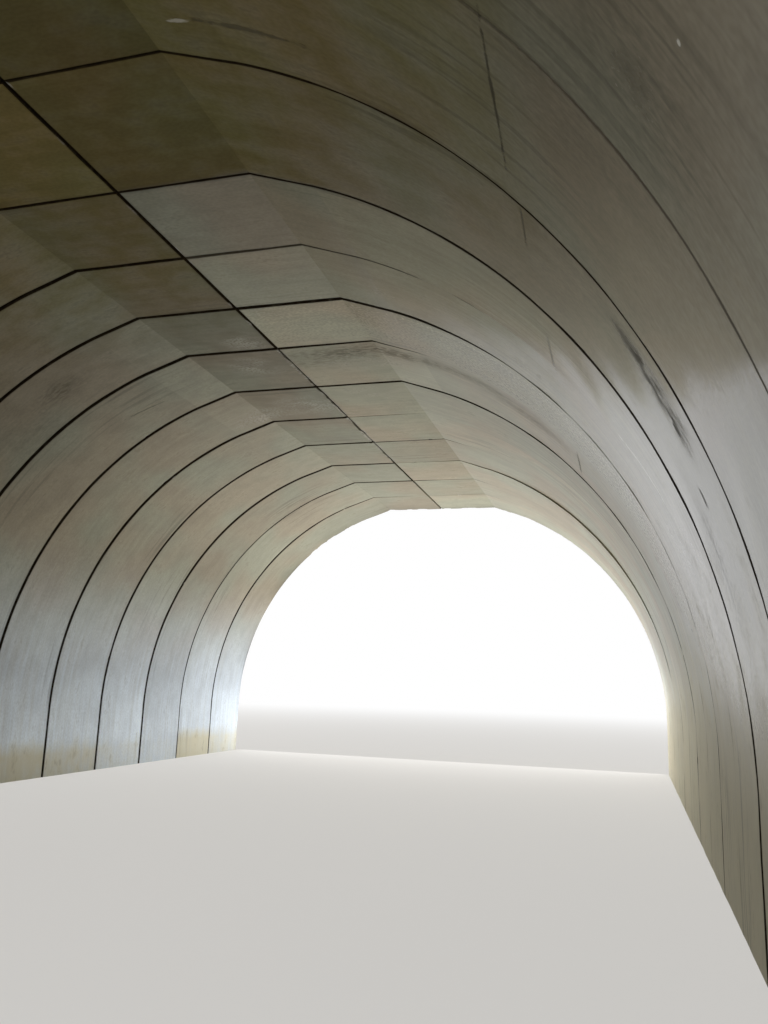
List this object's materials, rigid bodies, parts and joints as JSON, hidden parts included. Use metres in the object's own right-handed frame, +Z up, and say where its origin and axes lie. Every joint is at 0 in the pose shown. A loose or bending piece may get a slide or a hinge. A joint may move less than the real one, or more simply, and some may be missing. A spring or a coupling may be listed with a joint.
{
  "type": "precast arch culvert with headwall",
  "caption": "Precast concrete arch culvert: a barrel of hinged two-leaf rings with straight legs and a flat crown, wrapped outer joints, and a panelled headwall with coping round one portal.",
  "frame": {"origin": "on the ground under the middle of the whole, on the barrel's centre line", "axes": "+Y along the barrel from the open end to the headwall, +Z up, +X to the right when looking along +Y"},
  "size_m": [15.71, 23.09, 8.9349],
  "materials": {
    "barrel_concrete": "cast against smooth forms, stained and weathered",
    "headwall_concrete": "cast against smooth forms, lightly weathered",
    "joint_wrap": "matt black sealing sheet"
  },
  "bodies": {
    "root": {"ring_01_left_leaf": "barrel_concrete", "ring_01_right_leaf": "barrel_concrete", "ring_02_left_leaf": "barrel_concrete", "ring_02_right_leaf": "barrel_concrete", "ring_03_left_leaf": "barrel_concrete", "ring_03_right_leaf": "barrel_concrete", "ring_04_left_leaf": "barrel_concrete", "ring_04_right_leaf": "barrel_concrete", "ring_05_left_leaf": "barrel_concrete", "ring_05_right_leaf": "barrel_concrete", "ring_06_left_leaf": "barrel_concrete", "ring_06_right_leaf": "barrel_concrete", "ring_07_left_leaf": "barrel_concrete", "ring_07_right_leaf": "barrel_concrete", "ring_08_left_leaf": "barrel_concrete", "ring_08_right_leaf": "barrel_concrete", "ring_09_left_leaf": "barrel_concrete", "ring_09_right_leaf": "barrel_concrete", "ring_10_left_leaf": "barrel_concrete", "ring_10_right_leaf": "barrel_concrete", "ring_11_left_leaf": "barrel_concrete", "ring_11_right_leaf": "barrel_concrete", "ring_12_left_leaf": "barrel_concrete", "ring_12_right_leaf": "barrel_concrete", "ring_13_left_leaf": "barrel_concrete", "ring_13_right_leaf": "barrel_concrete", "joint_wrap_01": "joint_wrap", "joint_wrap_02": "joint_wrap", "joint_wrap_03": "joint_wrap", "joint_wrap_04": "joint_wrap", "joint_wrap_05": "joint_wrap", "joint_wrap_06": "joint_wrap", "joint_wrap_07": "joint_wrap", "joint_wrap_08": "joint_wrap", "joint_wrap_09": "joint_wrap", "joint_wrap_10": "joint_wrap", "joint_wrap_11": "joint_wrap", "joint_wrap_12": "joint_wrap", "crown_wrap": "joint_wrap", "headwall_left_outer_panel": "headwall_concrete", "headwall_right_outer_panel": "headwall_concrete", "headwall_left_crown_panel": "headwall_concrete", "headwall_right_crown_panel": "headwall_concrete", "headwall_left_coping": "headwall_concrete", "headwall_right_coping": "headwall_concrete"}
  },
  "joints": []
}
